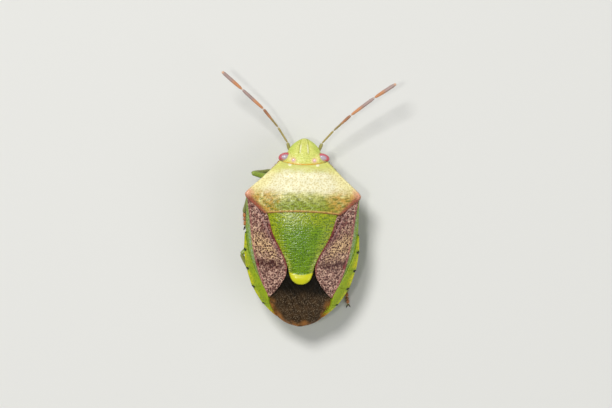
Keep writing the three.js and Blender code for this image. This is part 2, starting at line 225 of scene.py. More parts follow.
def corners_of(piece):
    """The piece's corners as columns x, y and z, in millimetres."""
    flat = np.empty(len(piece.data.vertices) * 3)
    piece.data.vertices.foreach_get("co", flat)
    return flat.reshape(-1, 3).T / mm


def mould(piece, x, y, z):
    """Moves the piece's corners to these places, in millimetres."""
    piece.data.vertices.foreach_set("co", (np.stack([x, y, z], axis=1) * mm).ravel())
    piece.data.update()


def mark(piece, **shares):
    """Keeps shares from 0 to 1 at the piece's corners, which its paint reads by name."""
    for name, values in shares.items():
        made = piece.data.attributes.new(name, "FLOAT", "POINT")
        made.data.foreach_set("value", np.full(len(piece.data.vertices), clamp(values), np.float32))


def slab(name, columns, rows, place):
    """A grid pulled up into a closed slab. place(u, v, w) gives its corners in mm, w being 1 on top."""
    bpy.ops.object.select_all(action="DESELECT")
    bpy.ops.mesh.primitive_grid_add(x_subdivisions=columns, y_subdivisions=rows, size=1)
    piece = bpy.context.object
    piece.name = name
    bpy.ops.object.mode_set(mode="EDIT")
    bpy.ops.mesh.extrude_region_move(TRANSFORM_OT_translate={"value": (0, 0, 1)})
    bpy.ops.mesh.select_all(action="SELECT")
    bpy.ops.mesh.normals_make_consistent(inside=False)
    bpy.ops.object.mode_set(mode="OBJECT")
    u, v, w = corners_of(piece) * mm
    mould(piece, *place(u + 0.5, v + 0.5, w))
    return piece


def cuticle(
    name, base, coats,
    gloss=0.35, sheen=0.12, shine=0.3, grain=0.004, grain_size=0.05, mottle=0.12, facets=False,
):
    """Insect cuticle: a base colour, further coats laid on by the piece's own marks, and a fine grain.
    A coat is (mark, colour), or for speckles (mark, colour, their size, the cloud values between which
    they rise)."""
    paint = bpy.data.materials.new(name)
    paint.use_nodes = True
    nodes, wire = paint.node_tree.nodes, paint.node_tree.links.new
    shader = nodes["Principled BSDF"]
    place = nodes.new("ShaderNodeTexCoord")
    scale = nodes.new("ShaderNodeMapping")
    scale.inputs["Scale"].default_value = (1 / mm,) * 3
    wire(place.outputs["Object"], scale.inputs["Vector"])

    def cloud(size, detail=3):
        made = nodes.new("ShaderNodeTexNoise")
        made.inputs["Scale"].default_value = 1 / size
        made.inputs["Detail"].default_value = detail
        wire(scale.outputs["Vector"], made.inputs["Vector"])
        return made.outputs["Fac"]

    def remap(value, low, high, to_low=0.0, to_high=1.0):
        made = nodes.new("ShaderNodeMapRange")
        sockets = ("From Min", "From Max", "To Min", "To Max")
        for socket, number in zip(sockets, (low, high, to_low, to_high)):
            made.inputs[socket].default_value = number
        wire(value, made.inputs["Value"])
        return made.outputs["Result"]

    def times(a, b):
        made = nodes.new("ShaderNodeMath")
        made.operation = "MULTIPLY"
        wire(a, made.inputs[0])
        wire(b, made.inputs[1])
        return made.outputs["Value"]

    def over(under, colour, share, how="MIX"):
        made = nodes.new("ShaderNodeMix")
        made.data_type = "RGBA"
        made.blend_type = how
        wire(share, made.inputs["Factor"])
        if isinstance(under, tuple):
            made.inputs[6].default_value = under
        else:
            wire(under, made.inputs[6])
        made.inputs[7].default_value = colour
        return made.outputs[2]

    colour = srgb(*base)
    for mark_name, chip, *speckles in coats:
        share = nodes.new("ShaderNodeAttribute")
        share.attribute_name = mark_name
        laid = share.outputs["Fac"]
        if speckles:
            size, (low, high) = speckles
            laid = times(laid, remap(cloud(size, 2), low, high))
        colour = over(colour, srgb(*chip), laid)
    shade = srgb(60, 60, 30)
    colour = over(colour, shade, remap(cloud(0.35, 4), 0.3, 0.7, 0, mottle), "MULTIPLY")
    wire(colour, shader.inputs["Base Color"])
    wire(remap(cloud(0.12), 0.3, 0.7, gloss - 0.06, gloss + 0.08), shader.inputs["Roughness"])
    bump = nodes.new("ShaderNodeBump")
    bump.inputs["Distance"].default_value = grain * mm
    bump.inputs["Strength"].default_value = 1
    if facets:
        lens = nodes.new("ShaderNodeTexVoronoi")
        lens.inputs["Scale"].default_value = 1 / grain_size
        wire(scale.outputs["Vector"], lens.inputs["Vector"])
        wire(remap(lens.outputs["Distance"], 0, 0.7, 1, 0), bump.inputs["Height"])
    else:
        wire(cloud(grain_size, 4), bump.inputs["Height"])
    wire(bump.outputs["Normal"], shader.inputs["Normal"])
    shader.inputs["Specular IOR Level"].default_value = shine
    shader.inputs["Coat Weight"].default_value = sheen
    shader.inputs["Coat Roughness"].default_value = 0.2
    return paint


def fit(piece, paint, slot, *nodes):
    """Smooths and paints a finished piece, and puts it in the frame in place of its CAD nodes."""
    piece.data.materials.append(paint)
    piece.data.polygons.foreach_set("use_smooth", [True] * len(piece.data.polygons))
    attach(piece, "root")
    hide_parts(*nodes)


shield_edge = through(
    (2.06, 1.28), (1.1, 2.25), (0.55, 2.85), (0.37, 3.02), (0.25, 3.08),
    (0.13, 3.05), (-0.03, 2.9), (-0.35, 2.53), (-0.78, 2.0),
)
shield_rows = (-0.78, 2.06)
shield_hind_bow = 0.11
collar_start = 0.7
hind_start = 0.1


def shield_pits(x, y):
    return pits(x * 0.85, y * 1.15, spacing=0.108, radius=0.052, seed=11)


def shield_wrinkles(x, y):
    return waves(x * 0.3, y, length=0.13, seed=6, count=22)


def pronotum_place(u, v, w):
    row = mix(*shield_rows, crowd(v))
    edge = shield_edge(row)
    out = 2 * crowd(u) - 1
    x = edge * out
    front = clamp((row - collar_start) / (shield_rows[1] - collar_start))
    hind = clamp((hind_start - row) / (hind_start - shield_rows[0]))
    y = row + front**2 * (collar_bow + 0.04) * (out**2 - 1) + hind**2 * shield_hind_bow * (1 - out**2)
    to_end = np.minimum(row - shield_rows[0], shield_rows[1] - row)
    inside = np.minimum(edge * (1 - np.abs(out)) * 0.75, to_end)
    rear = step(0.9, -0.2, y)
    pitted = shield_pits(x, y) * mix(0.3, 1, rear)
    callus = 0.05 * band(np.abs(x), 0.68, 0.4) * band(y, 1.45, 0.17)
    trough = 0.04 * band(y, 1.14, 0.14) * step(1.5, 0.8, np.abs(x))
    cross_lines = 0.008 * waves(x * 0.2, y, 0.11, 7) * step(1.1, 1.4, y)
    knob = 0.06 * band(np.abs(x), 0.74, 0.09) * band(y, 1.86, 0.07)
    lip = 0.035 * band(edge * (1 - np.abs(out)), 0.07, 0.06) * step(-0.2, 0.6, y)
    hem = 0.03 * band(row - shield_rows[0], 0.05, 0.04)
    uneven = 0.012 * waves(x, y, 0.42, 5) + 0.013 * shield_wrinkles(x, y) * rear
    top = back(x, y) - 0.02 + callus - trough + cross_lines + knob + lip + hem + uneven
    top -= 0.018 * pitted * step(0.02, 0.12, inside) + rolled(inside, 0.08)
    return x, y, np.where(w > 0.5, top, under_plates(x, y) + 0.1)


pronotum = slab("pronotum_shield", columns=296, rows=148, place=pronotum_place)
x, y, z = corners_of(pronotum)
ax = np.abs(x)
side = ax / shield_edge(y)
upper = step(0.3, 0.12, back(x, y) - z)
pitted = clamp(1.7 * shield_pits(x, y)) * upper
behind = step(0.62, -0.3, y + 0.1 * ax + 0.12 * waves(x, y, 0.9, 8))
hind_side = step(0.3, 0.0, y) * step(0.84, 0.97, ax / np.interp(y, [-0.78, 0.2], [2.02, 3.05]))
hind_curve = shield_hind_bow * (1 - (x / 2) ** 2)
hem_line = band(y, -0.75 + hind_curve, 0.035)
mark(
    pronotum,
    green_front=step(1.25, 1.8, y + 0.1 * waves(x * 0.4, y, 0.4, 9)) * 0.85,
    yellow_side=step(0.55, 0.9, side) * step(-0.1, 0.5, y) * 0.7,
    straw=0.75 * step(0.52, 0.12, y + 0.1 * waves(x, y, 0.5, 14)),
    olive=behind * step(2.5, 1.2, ax + 0.4 * y),
    ochre=step(0.75, 0.1, y) * step(0.9, 1.9, ax + 0.15 * waves(x, y, 0.4, 10)) * 0.85,
    # Painted shade: the troughs of the wrinkles behind are darkened.
    furrow=0.85 * clamp(-1.3 * shield_wrinkles(x, y)) * step(0.7, -0.1, y),
    shoulder=step(2.5, 3.0, ax + 0.15 * y + 0.06 * waves(x, y, 0.3, 12)) * step(0.8, 0.35, y),
    red_edge=np.maximum(hind_side, hem_line * (0.75 + 0.25 * waves(x, y, 0.4, 13))),
    pale_hem=0.75 * band(y, -0.69 + hind_curve, 0.04),
    pale_pit=pitted * 0.55 * step(0.2, 0.6, y) * step(1.95, 1.5, y),
    pit=pitted * 0.45 * step(0.75, 0.0, y),
    cream_knob=step(0.12, 0.06, np.hypot(ax - 0.74, (y - 1.86) * 1.2)) * upper,
)
pronotum_paint = cuticle(
    "pronotum_cuticle", (244, 238, 200),
    [
        ("yellow_side", (246, 234, 158)),
        ("green_front", (206, 208, 96)),
        ("straw", (222, 210, 112)),
        ("olive", (140, 156, 44)),
        ("ochre", (196, 146, 52), 0.25, (0.25, 0.55)),
        # Painted shade in the wrinkle troughs.
        ("furrow", (112, 118, 30)),
        ("pale_hem", (214, 168, 98)),
        ("shoulder", (222, 158, 126)),
        ("red_edge", (160, 84, 62)),
        ("pale_pit", (204, 182, 102)),
        ("pit", (88, 84, 26)),
        ("cream_knob", (244, 238, 196)),
    ],
    gloss=0.36,
)
fit(pronotum, pronotum_paint, "pronotum_shell", "pronotum")

# The scutellum, the long green triangle between the wings: one hard plate, finely pitted in cross rows, with
# a smooth yellow tip. It grows from the thorax and lies just above the wings' inner edges.
scutellum_base = -0.66
scutellum_tip = -4.48
scutellum_lap = 0.03
scutellum_edge = through(
    (-0.79, 1.86), (-1.81, 1.56), (-2.83, 1.02), (-3.5, 0.7),
    (-4.02, 0.56), (-4.25, 0.45), (-4.41, 0.27), (scutellum_tip, 0.1),
)


def scutellum_pits(x, y):
    return pits(x * 0.7, y * 1.3, spacing=0.086, radius=0.04, seed=21)


def scutellum_wrinkles(x, y):
    return waves(x * 0.3, y, length=0.14, seed=22, count=22)


def scutellum_place(u, v, w):
    row = mix(scutellum_tip, scutellum_base, v)
    edge = scutellum_edge(row) + scutellum_lap
    out = 2 * crowd(u) - 1
    x = edge * out
    y = row + step(-0.95, scutellum_base, row) * hind_bow * (1 - out**2)
    inside = np.minimum(edge * (1 - np.abs(out)) * 0.9, row - scutellum_tip)
    tip = step(-3.9, -4.05, y - 0.1 * out**2)
    pitted = scutellum_pits(x, y) * (1 - tip)
    lip = 0.07 * band(y, -4.22, 0.22) - 0.03 * band(y, -3.86, 0.09)
    wrinkled = 0.009 * scutellum_wrinkles(x, y) * (1 - tip)
    top = back(x, y) - 0.05 - 0.07 * out**4 + lip + wrinkled - 0.013 * pitted
    top -= rolled(inside, 0.07)
    depth = mix(0.5, 0.2, step(-2.6, -3.4, y))
    return x, y, np.where(w > 0.5, top, back(x, y) - depth)


scutellum = slab("scutellum_plate", columns=212, rows=212, place=scutellum_place)
x, y, z = corners_of(scutellum)
side = np.abs(x) / (scutellum_edge(y) + scutellum_lap)
toward_base = step(-1.9, -0.8, y + 0.2 * waves(x, y, 0.6, 23))
mark(
    scutellum,
    light_base=np.maximum(toward_base, step(0.5, 0.95, side)) * 0.75,
    deep=band(x, 0, 0.6) * band(y, -2.4, 1.1) * 0.75,
    # Pale lower sides: a pale rim colour, speckled with painted glints.
    pale_sides=step(0.6, 0.95, side) * step(-2.5, -3.3, y),
    # Painted shade: the troughs of the cross wrinkles are darkened.
    furrow=0.6 * clamp(-1.3 * scutellum_wrinkles(x, y)),
    pit=clamp(1.7 * scutellum_pits(x, y)) * 0.7,
    yellow_tip=step(-3.93, -4.0, y - 0.14 * side**2),
    red_edge=step(0.955, 0.985, side) * step(-3.5, -3.0, y) * 0.8,
)
scutellum_paint = cuticle(
    "scutellum_cuticle", (116, 150, 6),
    [
        ("light_base", (166, 172, 28)),
        ("deep", (92, 132, 2)),
        # Pale rim colour broken into specks that are painted glints.
        ("pale_sides", (190, 200, 124), 0.07, (0.48, 0.56)),
        ("furrow", (70, 104, 8)),
        # Painted shade in the wrinkle troughs.
        ("pit", (46, 70, 8)),
        ("yellow_tip", (202, 200, 24)),
        ("red_edge", (120, 60, 34)),
    ],
    gloss=0.3, sheen=0.24, mottle=0.08,
)
fit(scutellum, scutellum_paint, "scutellum_shell", "scutellum")

# The forewings, folded flat over the abdomen. The front two thirds, the corium, is leathery: pale ground
# under dense dark pits, with maroon stains, a stout rib, a seam before the clavus, and a green strip outside
# the rib.
both_sides = ((1, "right"), (-1, "left"))
corium_rows = (-5.17, 0.12)
corium_inner = through(
    (0.12, 2.93), (-0.3, 2.49), (-0.71, 1.96), (-0.85, 1.84), (-1.81, 1.54), (-2.83, 1.0),
    (-3.2, 0.84), (-3.6, 0.74), (-3.95, 0.78), (-4.5, 1.05), (-4.9, 1.36), (-5.17, 1.62),
)
costal_edge = through(
    (0.12, 2.99), (-1.36, 2.99), (-2.0, 2.95), (-2.76, 2.82), (-3.75, 2.44), (-4.4, 2.1), (-5.16, 1.72),
    (-5.6, 1.6), (-6.0, 1.38), (-6.4, 0.97), (-6.62, 0.53), (wing_tip, 0.1),
)
corium_rib = through((0.1, 2.92), (-1.06, 2.76), (-2.2, 2.62), (-3.29, 2.4), (-4.07, 2.16), (-5.16, 1.68))
clavus_seam = through((0.1, 2.93), (-0.29, 2.46), (-2.15, 1.5), (-2.9, 1.06), (-3.2, 0.86))


def wing_pits(x, y):
    return pits(x + 3, y * 0.9, spacing=0.086, radius=0.05, seed=31)


def corium_place(side):
    def place(u, v, w):
        row = mix(*corium_rows, crowd(v))
        inner, outer = corium_inner(row), costal_edge(row)
        across = u if side > 0 else 1 - u
        x = mix(inner, outer, crowd(across))
        inside = np.minimum(np.minimum(x - inner, outer - x) + 0.01, row - corium_rows[0])
        rib = 0.04 * band(x, corium_rib(row), 0.045) * step(-5.1, -4.6, row)
        seam = 0.04 * band(x, clavus_seam(row), 0.03) * step(-3.2, -2.9, row)
        clavus_rib = 0.03 * band(x, clavus_seam(row) + 0.07, 0.04) * step(-2.6, -1.9, row)
        inner_edge = 0.03 * band(x - inner, 0.03, 0.035) * step(-0.6, -0.9, row)
        strip = 0.05 * step(0.04, 0.2, x - corium_rib(row))
        uneven = 0.012 * waves(x, row, 0.5, 32) + 0.008 * waves(x, row * 0.6, 0.14, 33)
        top = back(x, row) - 0.1 + rib - seam + clavus_rib + inner_edge - strip + uneven
        top -= 0.02 * wing_pits(x, row) + rolled(inside, 0.05)
        return side * x, row, np.where(w > 0.5, top, back(x, row) - 0.24)

    return place


wing_paint = cuticle(
    "wing_leather", (214, 174, 152),
    [
        ("cream", (244, 204, 150)),
        ("maroon", (112, 60, 52), 0.16, (0.42, 0.56)),
        ("wash", (120, 58, 58)),
        ("dark", (70, 32, 22), 0.14, (0.36, 0.52)),
        ("pit", (60, 18, 16)),
        # Painted highlight along the raised rib beside the clavus seam.
        ("pale_rib", (204, 166, 160)),
        ("rose_rib", (158, 86, 80)),
        ("red_rib", (124, 28, 32)),
        ("green_strip", (136, 160, 54)),
        # Painted sheen: a bluish-grey light line on the green strip.
        ("blue_bloom", (176, 190, 182), 0.1, (0.42, 0.6)),
        ("green_pit", (76, 116, 52)),
    ],
    gloss=0.4,
)
for side, word in both_sides:
    corium = slab("corium_" + word, columns=84, rows=264, place=corium_place(side))
    x, y, z = corners_of(corium)
    x = np.abs(x)
    strip = step(0.03, 0.08, x - corium_rib(y))
    from_inner = x - corium_inner(y)
    ragged = 0.22 * waves(x, y, 0.35, 34 + side)
    patch = band(y + ragged, -2.45 + 0.35 * (x - 1.9), 0.62) * step(0.15, 0.5, from_inner + 0.5 * ragged)
    stain = band(y + 0.5 * ragged, -3.42 + 0.1 * (x - 1.7), 0.22) * step(0.1, 0.4, from_inner)
    wash = band(x, clavus_seam(y) + 0.1 + 0.2 * ragged, 0.32) * band(y, -1.7, 0.75)
    rib_line = band(x, corium_rib(y) - 0.02, 0.05) * (0.7 + 0.3 * waves(x, y, 0.3, 36))
    spot = band(np.hypot((x - 2.28) * 1.5, (y + 3.5) * 0.7), 0, 0.09)
    inner_red = band(from_inner, 0.02, 0.07) * step(-0.9, -1.5, y) * step(-4.4, -3.4, y)
    pitted = wing_pits(x, y)
    mark(
        corium,
        cream=patch,
        maroon=0.9 * (1 - 0.6 * patch) * mix(0.75, 1, band(y, -1.0, 1.2)),
        wash=0.6 * wash * (1 - patch),
        dark=np.maximum(stain, 0.2 * patch),
        pit=(0.88 + 0.12 * patch) * clamp(2 * pitted) * (1 - strip),
        # Painted highlight: a pale line on the raised rib beside the clavus seam, in front.
        pale_rib=0.4 * band(x, clavus_seam(y) + 0.08, 0.035) * step(-2.3, -1.6, y),
        rose_rib=0.75 * rib_line * (1 - strip),
        red_rib=np.maximum(0.85 * inner_red, 0.8 * spot),
        green_strip=strip,
        # Painted sheen: a bluish-grey light line just outside the rib.
        blue_bloom=0.75 * band(x - corium_rib(y), 0.13, 0.06) * band(y, -2.2, 1.6),
        green_pit=0.5 * pitted * strip,
    )
    fit(corium, wing_paint, "forewing", "forewing_" + word)

# The membranes, the wings' thin smoky rear third. The left one lies over the right one, and both cover the
# abdomen's tip. Their veins are low ridges that fan back from the corium's end.
membrane_front = -3.05
membrane_thickness = 0.035
veins = 7
upper_inner = through(
    (-3.05, 0.5), (-3.8, 0.3), (-4.3, 0.1), (-4.64, -0.12), (-5.0, -0.45), (-5.6, -0.92),
    (-6.15, -1.08), (-6.5, -0.8), (wing_tip, -0.1),
)
lower_inner = through((-3.05, 0.5), (-3.8, 0.3), (-4.3, 0.0), (-6.0, -0.2), (-6.5, -0.1), (wing_tip, 0.0))


def vein_fan(x, y, across):
    """Which vein a place is nearest to, as a whole number on the vein itself."""
    return across * veins + 0.12 * waves(x, y, 1.4, 45)


def membrane_place(side, inner_edge, depth):
    def place(u, v, w):
        row = mix(wing_tip, membrane_front, v)
        across = u if side > 0 else 1 - u
        outer = costal_edge(row) - 0.1 * step(-5.5, -5.16, row)
        x = mix(inner_edge(row), outer, across)
        fan = vein_fan(x, row, across)
        vein = 0.022 * band(fan - np.round(fan), 0, 0.1) * step(0.02, 0.1, across) * step(0.99, 0.9, across)
        creases = 0.012 * waves(x, row * 0.5, 0.24, 41 + side) + 0.005 * waves(x, row, 0.1, 47)
        droop = 0.06 * step(-6.2, wing_tip, row)
        top = back(x, row) - depth + vein + creases - droop
        return side * x, row, np.where(w > 0.5, top, top - membrane_thickness)

    return place


membrane_paint = cuticle(
    "wing_membrane", (62, 44, 24),
    [
        ("smoky", (12, 9, 3)),
        ("clouded", (36, 25, 12), 0.3, (0.42, 0.6)),
        # Painted glints: small pale specks for light off the membrane's creases.
        ("frosted", (122, 106, 84), 0.05, (0.55, 0.63)),
        ("vein", (84, 64, 40)),
        ("amber_rim", (156, 104, 52), 0.3, (0.25, 0.5)),
    ],
    gloss=0.38, sheen=0.0, shine=0.12, grain=0.005, grain_size=0.03,
)
for side, word, inner_edge, depth in ((1, "right", lower_inner, 0.30), (-1, "left", upper_inner, 0.255)):
    membrane = slab("membrane_" + word, columns=98, rows=150, place=membrane_place(side, inner_edge, depth))
    x, y, z = corners_of(membrane)
    own = side * x
    across = (own - inner_edge(y)) / np.maximum(costal_edge(y) - inner_edge(y), 0.05)
    fan = vein_fan(own, y, across)
    to_rim = np.minimum(costal_edge(y) - own, 1.2 * (y - wing_tip))
    ragged_rim = step(0.42, 0.05, to_rim + 0.1 * waves(x, y, 0.5, 44))
    mark(
        membrane,
        smoky=step(-5.7, -4.7, y + 0.2 * waves(x, y, 0.8, 43)) * 0.95,
        clouded=0.7 * step(-4.3, -5.0, y),
        # Painted glints: pale specks on the rear part of the membrane.
        frosted=step(-4.6, -5.4, y) * 0.85,
        vein=0.4 * band(fan - np.round(fan), 0, 0.09) * step(-4.8, -5.4, y),
        amber_rim=0.9 * ragged_rim * step(-5.0, -5.5, y),
    )
    fit(membrane, membrane_paint, "forewing", "forewing_" + word)

# The abdomen, a keeled bowl of green cuticle below the wings. Each belly plate laps a little over the next,
# a pale keel runs down the middle, and a dark breathing hole opens on each side of every plate.
abdomen_rows = (-6.45, -1.55)
belly_roundness = 2.6
segment_ends = [-1.76, -2.72, -3.71, -4.67, -5.56, -6.19]
keel = through(
    (1.7, 1.38), (1.0, 1.24), (0, 1.18), (-1.75, 1.1),
    (-3.0, 1.05), (-4.5, 1.14), (-5.6, 1.4), (-6.45, 1.75),
)
abdomen_edge = through(
    (-1.55, 3.0), (-2.0, 3.05), (-2.76, 3.04), (-3.75, 2.87),
    (-4.67, 2.54), (-5.56, 1.94), (-6.05, 1.42), (-6.3, 0.95), (-6.45, 0.4),
)


def down_segment(y):
    """How far down its own segment a place lies, from 0 at the front to 1 at the hind edge."""
    ends = np.array([segment_ends[0] + 0.9, *segment_ends, abdomen_rows[0] - 0.2])
    i = np.clip(np.searchsorted(-ends, -y) - 1, 0, len(ends) - 2)
    return clamp((ends[i] - y) / (ends[i] - ends[i + 1]))


def belly_pits(x, y):
    return pits(x, y, spacing=0.16, radius=0.05, seed=52)


def abdomen_place(u, v, w):
    row = mix(*abdomen_rows, v)
    edge = abdomen_edge(row) - 0.04
    t = 2 * crowd(u) - 1
    x = edge * np.abs(t)
    bend = row + 0.1 * (1 - np.abs(t)) * step(-6.1, -5.6, row)
    down = down_segment(bend)
    share = x / edge
    under_wings = mix(mix(0.42, 0.52, step(-5.6, -6.3, row)), 0.37, step(0.75, 0.95, share))
    top = back(x, row) - under_wings
    belly = mix(keel(row), rim(row) - 0.3, share**belly_roundness)
    belly += rolled(edge - x, 0.07) - 0.045 * down**1.5
    belly += 0.006 * waves(np.sign(t) * x * 0.4, row, 0.12, 51) + 0.02 * band(share, 0.93, 0.03)
    belly += 0.012 * belly_pits(x, row)
    return np.sign(t) * x, row, np.where(w > 0.5, top, np.minimum(belly, top - 0.03))


abdomen = slab("abdomen_shell", columns=150, rows=220, place=abdomen_place)
x, y, z = corners_of(abdomen)
ax, edge = np.abs(x), abdomen_edge(y)
down = down_segment(y + 0.1 * (1 - ax / edge) * step(-6.1, -5.6, y))
below = step(2.35, 2.2, z)
spiracle = np.hypot((ax - 0.8 * edge) * 1.4, (down - 0.5) * 0.85)
mark(
    abdomen,
    pale_keel=step(0.7, 0.1, ax + 0.1 * waves(x, y, 0.6, 54)) * below * 0.8,
    suture=0.7 * np.maximum(band(down, 0, 0.04), band(down, 1, 0.03)) * below,
    pit=0.5 * clamp(1.5 * belly_pits(ax, y)) * below,
    rust=step(-6.25, -6.42, y) * step(1.6, 2.0, z) * 0.6,
    spiracle=step(0.05, 0.03, spiracle) * below,
    # Painted shade: the abdomen's top under the wings is darkened, all but its rim.
    dark_back=(1 - below) * step(0.97, 0.93, ax / edge),
)
body_paint = cuticle(
    "body_cuticle", (146, 166, 26),
    [
        ("yellow_rim", (204, 198, 16), 0.4, (0.25, 0.6)),
        ("pale_keel", (208, 210, 120)),
        ("suture", (112, 132, 34)),
        ("pit", (92, 118, 10)),
        ("rust", (168, 92, 50)),
        ("spiracle", (36, 30, 16)),
        ("dot", (28, 26, 12)),
        # Painted shade under the wings.
        ("dark_back", (40, 34, 20)),
    ],
    gloss=0.33,
)
fit(abdomen, body_paint, "body_shell", "abdomen")

# The connexivum, the abdomen's rim beside the wings: one raised plate a segment, green with a yellow outer
# edge and a black dot at each corner, hinged by soft skin to the plates before and behind it.
tooth = 0.04
plate_seam = 0.001


def rim_pits(x, y):
    return pits(x, y, spacing=0.11, radius=0.05, seed=52)


def rim_plate_place(side, front, hind):
    def place(u, v, w):
        row = mix(hind + plate_seam, front - plate_seam, crowd(v))
        down = (front - row) / (front - hind)
        edge = abdomen_edge(row) + tooth * down**3
        inner = np.minimum(costal_edge(row) - 0.14, edge - 0.2)
        x = mix(inner, edge, crowd(u if side > 0 else 1 - u))
        inside = np.minimum(edge - x, np.minimum(row - hind, front - row) - plate_seam)
        crown = 0.02 * band(down, 0.5, 0.4)
        hem = 0.02 * band(edge - x, 0.09, 0.04)
        top = back(x, row) - 0.06 + crown - hem - 0.012 * rim_pits(x, row)
        top -= rolled(inside, 0.012) + 0.25 * step(0.03, -0.05, x - costal_edge(row))
        y = row + 0.1 * (edge - x) * step(-6.0, -5.0, row)
        return side * x, y, np.where(w > 0.5, top, back(x, row) - 0.4 + rolled(edge - x, 0.1))

    return place


for side, word in both_sides:
    for number, (front, hind) in enumerate(zip(segment_ends, segment_ends[1:]), start=3):
        place = rim_plate_place(side, front, hind)
        plate = slab(f"rim_plate_{number}_{word}", columns=28, rows=52, place=place)
        x, y, z = corners_of(plate)
        x = np.abs(x)
        to_edge = abdomen_edge(y) - x
        upper = step(0.2, 0.1, back(x, y) - z)
        corner = np.minimum(np.abs(y - hind), 1.3 * np.abs(y - front))
        rim_light = step(0.26, 0.02, to_edge + 0.07 * waves(x, y, 0.5, 53))
        mark(
            plate,
            yellow_rim=rim_light * step(0.05, 0.25, corner) * mix(0.4, 1, upper),
            pit=0.45 * clamp(1.5 * rim_pits(x, y)),
            dot=step(0.1, 0.06, np.hypot(to_edge * 0.9 - 0.02, corner)) * (hind > -6.0) * upper,
            rust=step(-5.75, -6.15, y) * step(0.35, 0.1, to_edge) * 0.85,
        )
        fit(plate, body_paint, "body_shell", "abdomen")

# The thorax, the box of green side and breast plates that carries the legs. Its seams part the plates of the
# three pairs of legs, and each coxa sits in a cup with a raised lip.
thorax_rows = (-1.78, 1.92)
coxae = {"fore": (0.64, 0.95, 1.02), "mid": (0.74, -0.15, 0.98), "hind": (0.76, -1.12, 0.94)}
plate_seams = (0.42, -0.74)
gland_at = (1.55, -0.36)


def seam_distance(x, y, seam):
    """How far a place lies ahead of a seam, which slants a little back towards the side."""
    return y + 0.12 * x - seam - 0.1


def gland_distance(x, y):
    """How far a place lies from the scent gland's opening, which is a little wider than long."""
    return np.hypot((x - gland_at[0]) * 0.8, y - gland_at[1])


def side_pits(x, y):
    return pits(x, y, spacing=0.13, radius=0.055, seed=61)


def thorax_place(u, v, w):
    row = mix(*thorax_rows, v)
    edge = envelope(np.minimum(row, 1.95)) - 0.09
    t = 2 * crowd(u) - 1
    x = edge * np.abs(t)
    belly = mix(keel(row), rim(row) - 0.34, np.abs(t) ** belly_roundness)
    for seam in plate_seams:
        past = seam_distance(x, row, seam)
        belly += 0.05 * band(past, 0, 0.035) * step(0.4, 0.7, x)
        belly += 0.04 * step(0.16, 0.0, past) * step(0, 0.03, past)
    belly += 0.014 * side_pits(x, row) * step(1.0, 1.3, x)
    belly += 0.05 * band(x, 0.0, 0.2)
    for cx, cy, _ in coxae.values():
        away = np.hypot(x - cx, row - cy)
        belly += 0.16 * step(0.3, 0.2, away) - 0.07 * band(away, 0.36, 0.06)
    gland = gland_distance(x, row)
    belly += 0.06 * step(0.09, 0.03, gland) - 0.04 * band(gland, 0.14, 0.05)
    belly += rolled(edge - x, 0.09)
    top = np.maximum(back(x, row) - 0.45, belly + 0.12)
    return np.sign(t) * x, row, np.where(w > 0.5, top, belly)


thorax = slab("thorax_shell", columns=150, rows=120, place=thorax_place)
x, y, z = corners_of(thorax)
ax = np.abs(x)
seams = sum(band(seam_distance(ax, y, seam), 0, 0.04) for seam in plate_seams)
mark(
    thorax,
    pit=0.6 * clamp(1.5 * side_pits(ax, y)) * step(1.0, 1.3, ax),
    suture=0.8 * seams * step(0.4, 0.7, ax),
    pale_keel=0.8 * step(1.1, 0.5, ax),
    dot=step(0.05, 0.03, gland_distance(ax, y)),
)
fit(thorax, body_paint, "body_shell", "thorax")

# The head, one hard capsule. Grooves part its raised middle lobe from the two cheek lobes, and it slopes
# to a thin front edge. A yellow-orange band runs where it meets the shield, and its sides wrap each eye's
# inner half.
head_tip = 3.29
head_rear = 1.7
eye_centre = (1.0, 2.27, 2.1)
ocellus_at = (0.55, 2.1, 2.51)
head_edge = through(
    (head_rear, 0.95), (1.95, 1.14), (2.12, 1.13), (2.27, 1.04), (2.42, 0.96), (2.55, 0.88), (2.68, 0.82),
    (2.84, 0.71), (2.98, 0.58), (3.1, 0.43), (3.19, 0.29), (3.26, 0.14), (head_tip, 0.02),
)
head_top = through((head_rear, 2.68), (2.3, 2.56), (2.7, 2.33), (3.0, 2.07), (3.2, 1.88), (head_tip, 1.74))
head_side = through((head_rear, 2.2), (2.4, 2.05), (2.8, 1.95), (3.1, 1.8), (head_tip, 1.7))
head_under = through((head_rear, 1.3), (2.4, 1.24), (2.8, 1.3), (3.1, 1.46), (3.22, 1.56), (head_tip, 1.68))
lobe_line = through((2.3, 0.29), (2.6, 0.27), (3.0, 0.22), (head_tip, 0.13))


def loft(name, around, along, place):
    """A sphere with its poles fore and aft. place(angle, v) gives its corners, v being 0 at the rear."""
    bpy.ops.object.select_all(action="DESELECT")
    bpy.ops.mesh.primitive_uv_sphere_add(segments=around, ring_count=along, radius=mm)
    piece = bpy.context.object
    piece.name = name
    x, y, z = corners_of(piece)
    mould(piece, *place(np.arctan2(-y, x), 1 - np.arccos(np.clip(z, -1, 1)) / np.pi))
    return piece


def head_pits(x, y):
    return pits(x, y, spacing=0.085, radius=0.036, seed=73)


def vertex_lines(x, y):
    """Fine cross lines on the head's middle."""
    return waves(x * 0.3, y, length=0.08, seed=71)


